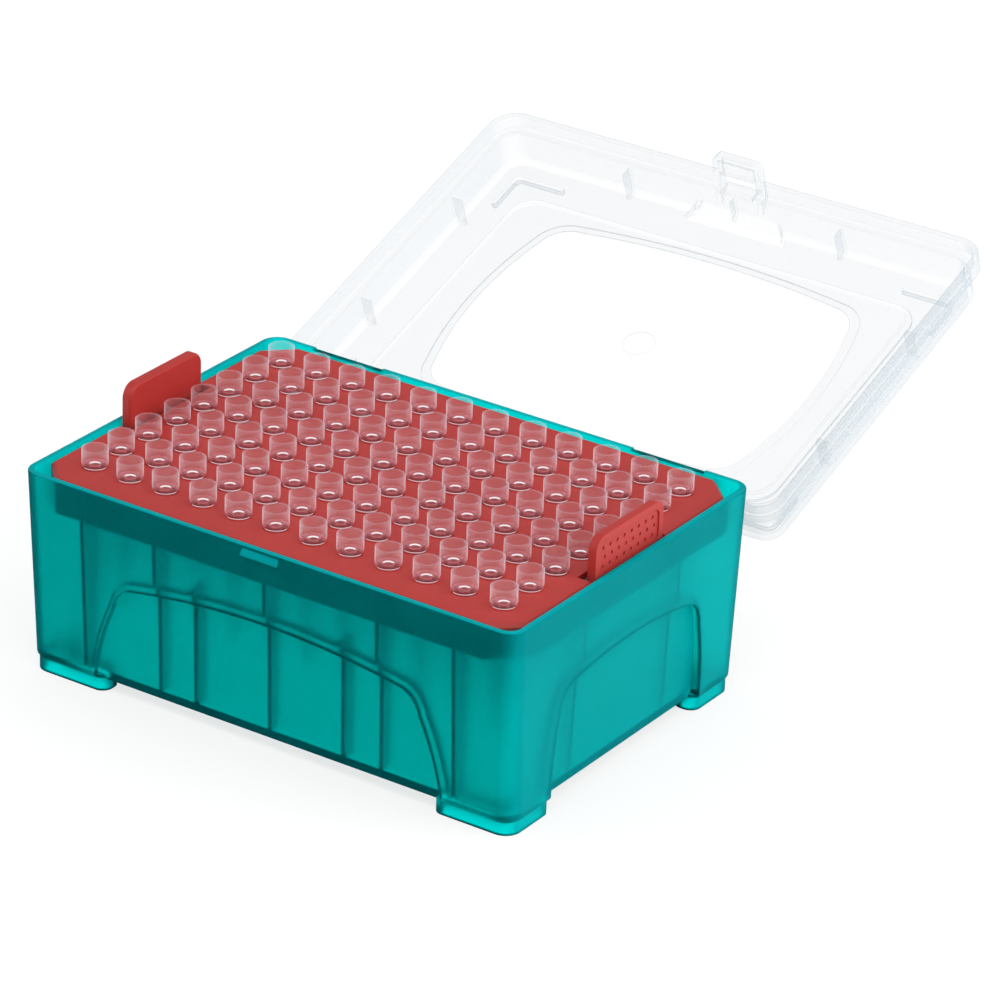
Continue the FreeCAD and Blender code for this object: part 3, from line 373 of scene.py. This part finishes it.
@dataclass(frozen=True, kw_only=True)
class MilkyPlastic(OpaquePlastic):
    """A tinted, milky plastic: blurred shapes show through it, and extra milk paints light along
    its rim and on its end walls.

    Its colour is that of the milk, and its clear colour that of the plastic between.
    """

    clear_colour: tuple
    milk: float
    drift: float = 0.05
    drift_ratio: float = 0.5
    drift_detail: float = 3.0
    # Painted light: extra milk lightens the end walls as if lit through them, and the rim as if it
    # caught the light.
    painted_end_light_milk: float
    painted_rim_light_milk: float
    rim_low: float
    rim_high: float
    ledge_milk: float
    ledge_front: float
    ledge_low: float
    ledge_soft: float = 0.1 * MM
    refraction: float
    depth_colour: tuple
    depth_density: float

    def cloud(self, graph: Graph) -> Socket:
        """Give how milky the plastic is: more on the catch, and more along the rim and on the end
        walls as painted light.
        """
        height = graph.axis("Z")
        rim = height.ramp(self.rim_low, self.rim_high)
        ahead = (graph.axis("Y") * -1.0).ramp(self.ledge_front, self.ledge_front + self.ledge_soft)
        ledge = ahead * height.ramp(self.ledge_low, self.ledge_low + 2 * self.ledge_soft)
        across = graph.normal("X")
        patches = graph.noise(self.flow_size * self.drift_ratio, self.drift_detail)
        drift = self.drift * (patches - 0.5)
        # Painted light: the end walls take extra milk by how square they face along X.
        walls = self.milk + drift + self.painted_end_light_milk * across * across
        # Painted highlight: extra milk along the rim.
        return (walls + self.painted_rim_light_milk * rim + self.ledge_milk * ledge).limit()

    def shaders(self, graph: Graph) -> tuple:
        """Give clear and milky plastic mixed, and the tint that deepens with thickness."""
        rough, normal = self.skin(graph)
        inputs = {
            "Color": self.clear_colour,
            "Roughness": rough,
            "IOR": self.refraction,
            "Normal": normal,
        }
        clear = graph.add("ShaderNodeBsdfRefraction", {}, inputs)
        milk = self.body(graph, self.tone(graph), rough, normal)
        inputs = {"Color": self.depth_colour, "Density": self.depth_density}
        depth = graph.add("ShaderNodeVolumeAbsorption", {}, inputs)
        return graph.blend(self.cloud(graph), clear, milk), depth


@dataclass(frozen=True, kw_only=True)
class FrostedPlastic(Plastic):
    """A nearly clear plastic with a milky haze that gathers where a wall is seen edge on."""

    haze: float
    edge_haze: float
    edge_power: float = 2.5
    glow_through: float = 0.5
    mirror: float = 0.03
    edge_mirror: float = 0.35
    mirror_power: float = 5.0

    def cloud(self, graph: Graph, facing: Socket) -> Socket:
        """Give how hazy the plastic is.

        Args:
            graph: the material's graph; not used here, only by the plastics built on this one.
            facing: how much the surface turns away from the eye.

        Returns:
            The share of haze, which may pass 1.
        """
        return self.haze + self.edge_haze * facing**self.edge_power

    def glow(self, graph: Graph, normal: "Socket | None") -> Socket:
        """Give the light that comes through the haze from behind."""
        inputs = {"Color": self.colour, "Normal": normal}
        return graph.add("ShaderNodeBsdfTranslucent", {}, inputs)

    def add_painted_highlight(self, graph: Graph, surface: Socket) -> Socket:
        """Give the finished surface; a plastic with a painted highlight of its own adds it here."""
        return surface

    def shaders(self, graph: Graph) -> tuple:
        """Give clear plastic with haze in it and a thin reflection over both."""
        rough, normal = self.skin(graph)
        facing = graph.facing(normal)
        inputs = {
            "Base Color": self.tone(graph),
            "Roughness": 1.0,
            "Specular IOR Level": 0.0,
            "Normal": normal,
        }
        front = graph.add("ShaderNodeBsdfPrincipled", {}, inputs)
        haze = graph.blend(self.glow_through, front, self.glow(graph, normal))
        clear = graph.add("ShaderNodeBsdfTransparent", {}, {"Color": WHITE})
        wall = graph.blend(self.cloud(graph, facing).limit(), clear, haze)
        inputs = {"Color": WHITE, "Roughness": rough, "Normal": normal}
        shine = graph.add("ShaderNodeBsdfAnisotropic", {}, inputs)
        reflected = self.mirror + self.edge_mirror * facing**self.mirror_power
        # The plastic's own painted highlight, if it has one, goes over the whole.
        return (self.add_painted_highlight(graph, graph.blend(reflected, wall, shine)),)


@dataclass(frozen=True, kw_only=True)
class LidPlastic(FrostedPlastic):
    """The lid's clear plastic: frosted outside, but polished in its window and on its ceiling.

    The ceiling and the window are bands of height above the hinge, as it is on the closed lid,
    and the outer face starts at the top.
    """

    line_haze: float
    line_width: float = 0.25 * MM
    ceiling: tuple = (13.50 * MM, 14.70 * MM)
    window: tuple = (15.18 * MM, 15.42 * MM)
    top: tuple = (14.74 * MM, 14.78 * MM)
    step: float = 0.04 * MM

    def closed_height(self, graph: Graph) -> Socket:
        """Give the height above the hinge, with the lid turned back from open to closed."""
        closing = math.radians(max(HINGE["range_deg"]))
        _, hinge_y, hinge_z = HINGE["pos_m"]
        ahead = (graph.axis("Y") - hinge_y) * math.sin(closing)
        return ahead + (graph.axis("Z") - hinge_z) * math.cos(closing)

    def cloud(self, graph: Graph, facing: Socket) -> Socket:
        """Give how hazy the plastic is: most on the outer face, and none in the window."""
        height = self.closed_height(graph)
        ceiling = height.band(*self.ceiling, self.step)
        window = height.band(*self.window, self.step)
        frost = 1.0 + height.ramp(*self.top) - ceiling - 2.0 * window
        return super().cloud(graph, facing) * frost + self.line_haze * graph.edges(self.line_width)


@dataclass(frozen=True, kw_only=True)
class TipPlastic(FrostedPlastic):
    """The tips' clear plastic, with a painted highlight: a glowing crescent on the inner funnel,
    where the funnel would throw back the light.

    A face's rise is the upward part of its normal: 1 looks up, 0 looks sideways, -1 looks down.
    """

    # The deck's red, painted at the collar's foot as light bounced from the deck.
    painted_deck_red: tuple
    foot_haze: float = 0.55
    foot_high: float = COLLAR_TOP - 3.3 * MM
    foot_soft: float = 0.2 * MM
    painted_deck_red_soft: float = 0.3 * MM
    inside_rise: tuple = (0.015, 0.03)
    under_rise: tuple = (-0.97, -0.9)
    # The painted crescent highlight: its colour, its band of height, its turn and the strength of
    # its glow.
    painted_crescent_colour: tuple = (1.0, 0.97, 0.98, 1.0)
    painted_crescent_low: float = COLLAR_TOP - 3.88 * MM
    painted_crescent_high: float = COLLAR_TOP - 3.6 * MM
    painted_crescent_soft: float = 0.03 * MM
    painted_crescent_turn: tuple = (0.3, 0.55)
    painted_crescent_strength: float = 0.95
    rim_haze: float = 0.14
    rim_low: float = COLLAR_TOP - 0.05 * MM
    rim_soft: float = 0.03 * MM
    lip_haze: float = 0.55
    lip_rise: tuple = (-0.9, -0.35)
    lip_soft: float = 0.15
    cone_rise_squared: tuple = (0.008, 0.016)
    cone_clear: float = 0.9

    def painted_crescent_mask(self, graph: Graph) -> Socket:
        """Give 1 on the part of the inner funnel that faces the eye, where the crescent highlight
        is painted.
        """
        band = graph.axis("Z").band(self.painted_crescent_low, self.painted_crescent_high, self.painted_crescent_soft)
        return band * graph.outside() * (1.0 - graph.facing().ramp(*self.painted_crescent_turn))

    def foot(self, graph: Graph) -> Socket:
        """Give 1 at the foot of the collar, where the deck's red light is painted, except on the
        painted crescent highlight.
        """
        above = graph.axis("Z").ramp(self.foot_high, self.foot_high + self.painted_deck_red_soft)
        return (1.0 - above) * (1.0 - self.painted_crescent_mask(graph))

    def tone(self, graph: Graph) -> Socket:
        """Give the colour, with the deck's red painted in at the foot of the collar as bounced
        light.
        """
        flow = graph.noise(self.flow_size, self.flow_detail).ramp(*self.flow_contrast)
        plain = graph.mix(flow, self.deep_colour, self.colour)
        return graph.mix(self.foot(graph), plain, self.painted_deck_red)

    def glow(self, graph: Graph, normal: "Socket | None") -> Socket:
        """Give the light from behind, with the deck's red light painted into it at the foot."""
        inputs = {"Color": self.painted_deck_red, "Normal": normal}
        red = graph.add("ShaderNodeBsdfTranslucent", {}, inputs)
        return graph.blend(self.foot(graph), super().glow(graph, normal), red)

    def skin(self, graph: Graph) -> tuple[Socket, None]:
        """Give the roughness, and no relief: a tip is too small and too smooth to show any."""
        wipe = graph.noise(self.flow_size, self.flow_detail)
        return (self.roughness + self.rough_spread * (wipe - 0.5)).limit(), None

    def add_painted_highlight(self, graph: Graph, surface: Socket) -> Socket:
        """Paint the crescent highlight nearly white with a glow, for the light that the funnel
        gathers there.
        """
        # Painted highlight: an emission, though no lamp is there.
        glow = graph.add("ShaderNodeEmission", {}, {"Color": self.painted_crescent_colour, "Strength": 1.0})
        return graph.blend(self.painted_crescent_strength * self.painted_crescent_mask(graph), surface, glow)

    def cloud(self, graph: Graph, facing: Socket) -> Socket:
        """Give how hazy the plastic is: more at the rim, the lip and inside the foot, and full on
        the painted crescent highlight.
        """
        height = graph.axis("Z")
        rise = graph.normal("Z")
        above = height.ramp(self.foot_high, self.foot_high + self.foot_soft)
        cone = (rise * rise).ramp(*self.cone_rise_squared) * above
        wall = super().cloud(graph, facing) * (1.0 - self.cone_clear * cone)
        inside = rise.ramp(*self.inside_rise) + (1.0 - rise.ramp(*self.under_rise))
        foot = self.foot_haze * inside * (1.0 - above)
        rim = self.rim_haze * height.ramp(self.rim_low, self.rim_low + self.rim_soft)
        lip = self.lip_haze * rise.band(*self.lip_rise, self.lip_soft)
        return wall + foot + rim + lip + self.painted_crescent_mask(graph)


TEAL = MilkyPlastic(
    name="teal_plastic_look",
    colour=rgb(0, 200, 208),
    deep_colour=rgb(0, 196, 204),
    clear_colour=rgb(0, 247, 244),
    grain=Grain.SATIN,
    roughness=0.5,
    gloss=0.12,
    gloss_colour=(0.05, 0.9, 1.0, 1.0),
    milk=0.1,
    # Painted light on the end walls and along the rim.
    painted_end_light_milk=0.2,
    painted_rim_light_milk=0.4,
    rim_low=RIM_TOP - 0.2 * MM,
    rim_high=RIM_TOP - 0.03 * MM,
    ledge_milk=0.3,
    ledge_front=CATCH_FRONT - 0.7 * MM,
    ledge_low=RIM_TOP - 3.0 * MM,
    refraction=1.4,
    depth_colour=(0.0, 0.8, 0.78, 1.0),
    depth_density=120.0,
)
RED = OpaquePlastic(
    name="red_plastic_look",
    colour=rgb(176, 48, 43),
    deep_colour=rgb(169, 45, 41),
    grain=Grain.MATT,
    roughness=0.45,
    gloss=0.28,
)
CLEAR = LidPlastic(
    name="clear_plastic_look",
    colour=rgb(190, 204, 214),
    deep_colour=rgb(186, 200, 210),
    grain=Grain.POLISHED,
    roughness=0.16,
    rough_spread=0.05,
    edge_radius=0.25 * MM,
    haze=0.021,
    edge_haze=0.72,
    line_haze=0.22,
)
TIP = TipPlastic(
    name="tip_plastic_look",
    colour=rgb(252, 246, 255),
    deep_colour=rgb(248, 242, 252),
    # Painted red light from the deck at the collar's foot.
    painted_deck_red=rgb(222, 116, 122),
    grain=Grain.POLISHED,
    roughness=0.12,
    rough_spread=0.04,
    flow_size=3 * MM,
    flow_detail=1.0,
    haze=0.07,
    edge_haze=0.6,
    edge_mirror=0.25,
)


# --- Sub-assemblies ------------------------------------------------------------------------


@dataclass
class Moulding:
    """One moulded piece of the frame, or several alike, in one plastic."""

    nodes: list[str]
    plastic: Plastic

    def dress(self) -> None:
        """Give every node of the piece its plastic, on the object and not on its mesh."""
        material = self.plastic.make()
        for name in self.nodes:
            piece = frame["nodes"][name]
            for slot in piece.material_slots:
                slot.link = "OBJECT"
                slot.material = material
            LOG.info("%s is dressed in %s", name, material.name)


# --- Studio --------------------------------------------------------------------------------


def toward(azimuth: float, elevation: float) -> Vector:
    """Give the direction from the box to something round it.

    Args:
        azimuth: degrees round from the front, to the right.
        elevation: degrees above the table.

    Returns:
        A vector of length 1.
    """
    turn, lift = math.radians(azimuth), math.radians(elevation)
    flat = math.cos(lift)
    return Vector((math.sin(turn) * flat, -math.cos(turn) * flat, math.sin(lift)))


@dataclass(frozen=True)
class Lamp:
    """A soft rectangular lamp that points at the box, with weak highlights."""

    name: str
    azimuth: float
    elevation: float
    distance: float
    size: tuple
    power: float
    shine: float = 0.35
    aim: tuple = (0.0, 0.02, 0.04)

    def hang(self) -> None:
        """Put the lamp up."""
        lamp = bpy.data.lights.new(self.name, "AREA")
        lamp.shape = "RECTANGLE"
        lamp.size, lamp.size_y = self.size
        lamp.energy = self.power
        lamp.specular_factor = self.shine
        stand = bpy.data.objects.new(self.name, lamp)
        way = toward(self.azimuth, self.elevation)
        stand.location = Vector(self.aim) + way * self.distance
        stand.rotation_euler = way.to_track_quat("Z", "Y").to_euler()
        bpy.context.scene.collection.objects.link(stand)
        LOG.info("%s hangs %.2f m away", self.name, self.distance)


@dataclass(frozen=True)
class ByRay:
    """A number that depends on what the ray does: see, mirror, come through plastic, or light."""

    seen: float
    mirrored: float
    through: float
    lighting: float

    def value(self, graph: Graph) -> Socket:
        """Give the number for the present ray."""
        total = self.lighting
        for ray, number in (
            ("Is Camera Ray", self.seen),
            ("Is Glossy Ray", self.mirrored),
            ("Is Transmission Ray", self.through),
        ):
            path = graph.add("ShaderNodeLightPath", {}, {}, ray)
            total = total + path * (number - self.lighting)
        return total


@dataclass(frozen=True)
class Studio:
    """A pale floor, an even white room, and soft lamps.

    The room is a little whiter to the eye than it is as a light, and the floor glows by a share.
    """

    lamps: tuple
    room: ByRay
    floor_glow: ByRay
    floor_half: float = 4.0
    floor_thick: float = 0.02
    floor_gap: float = 0.02 * MM
    floor_round: float = 0.3
    floor_colour: tuple = (0.95, 0.95, 0.95, 1.0)

    def lay_floor(self) -> None:
        """Make the floor: a wide slab with a softened edge, just under the feet."""
        bpy.ops.object.select_all(action="DESELECT")
        middle = (0.0, 0.0, -0.5 * self.floor_thick - self.floor_gap)
        bpy.ops.mesh.primitive_cube_add(size=1.0, location=middle)
        floor = bpy.context.active_object
        floor.name = "studio_floor"
        floor.scale = (2 * self.floor_half, 2 * self.floor_half, self.floor_thick)
        bpy.ops.object.transform_apply(location=True, rotation=True, scale=True)
        bpy.ops.object.mode_set(mode="EDIT")
        bpy.ops.mesh.select_all(action="SELECT")
        bpy.ops.mesh.bevel(offset=self.floor_round * self.floor_thick, segments=2)
        bpy.ops.object.mode_set(mode="OBJECT")
        graph = Graph(bpy.data.materials.new("studio_floor_look"))
        paint = graph.add("ShaderNodeBsdfDiffuse", {}, {"Color": self.floor_colour})
        glow = graph.add("ShaderNodeEmission", {}, {"Color": WHITE, "Strength": self.room.seen})
        graph.finish(graph.blend(self.floor_glow.value(graph).limit(), paint, glow))
        floor.data.materials.append(graph.owner)
        LOG.info("studio_floor is %.1f m wide", 2 * self.floor_half)

    def light_room(self) -> None:
        """Light the scene evenly, and show white wherever the room itself is seen."""
        world = bpy.data.worlds.new("studio_room")
        bpy.context.scene.world = world
        graph = Graph(world)
        inputs = {"Color": WHITE, "Strength": self.room.value(graph)}
        light = graph.add("ShaderNodeBackground", {}, inputs)
        graph.add("ShaderNodeOutputWorld", {}, {"Surface": light})

    def build(self) -> None:
        """Set the studio up."""
        self.lay_floor()
        self.light_room()
        for lamp in self.lamps:
            lamp.hang()


STUDIO = Studio(
    lamps=(
        Lamp("lamp_strip", azimuth=33.0, elevation=58.0, distance=1.2, size=(1.0, 0.2), power=3.5),
        Lamp("lamp_left", azimuth=-55.0, elevation=30.0, distance=1.3, size=(0.8, 0.8), power=3.6),
        Lamp("lamp_right", azimuth=105.0, elevation=20.0, distance=1.3, size=(0.7, 0.9), power=9.0),
    ),
    room=ByRay(seen=1.04, mirrored=0.45, through=1.04, lighting=0.72),
    floor_glow=ByRay(seen=0.7, mirrored=0.0, through=0.82, lighting=0.0),
)


@dataclass(frozen=True)
class Viewpoint:
    """The camera, turned, tilted and rolled about the box. Angles are in degrees."""

    azimuth: float = 33.42
    elevation: float = 25.70
    roll: float = 2.075
    place: tuple = (0.565705, -0.816300, 0.518650)
    lens: float = 198.35
    sensor: float = 36.0
    sight: tuple = (0.01, 50.0)

    def stand(self) -> None:
        """Put the camera in place and make it the scene's own."""
        back = toward(self.azimuth, self.elevation)
        right = toward(self.azimuth + 90.0, 0.0)
        over = back.cross(right)
        turn = math.radians(self.roll)
        side = right * math.cos(turn) + over * math.sin(turn)
        top = over * math.cos(turn) - right * math.sin(turn)
        camera = bpy.data.cameras.new("camera")
        camera.lens = self.lens
        camera.sensor_width = self.sensor
        camera.clip_start, camera.clip_end = self.sight
        camera.dof.use_dof = False
        axes = Matrix((side, top, back)).transposed().to_4x4()
        stand = bpy.data.objects.new("camera", camera)
        stand.matrix_world = Matrix.Translation(Vector(self.place)) @ axes
        bpy.context.scene.collection.objects.link(stand)
        bpy.context.scene.camera = stand


def main() -> None:
    """Dress the pieces and set up the studio."""
    logging.basicConfig(level=logging.INFO, format="%(name)s: %(message)s")
    bpy.context.scene.view_settings.view_transform = "Standard"
    columns = sorted(name for name in frame["nodes"] if name.startswith("tips_column_"))
    for moulding in (
        Moulding(["base"], TEAL),
        Moulding(["rack"], RED),
        Moulding(["lid"], CLEAR),
        Moulding(columns, TIP),
    ):
        moulding.dress()
    STUDIO.build()
    Viewpoint().stand()


if __name__ == "__main__":
    main()
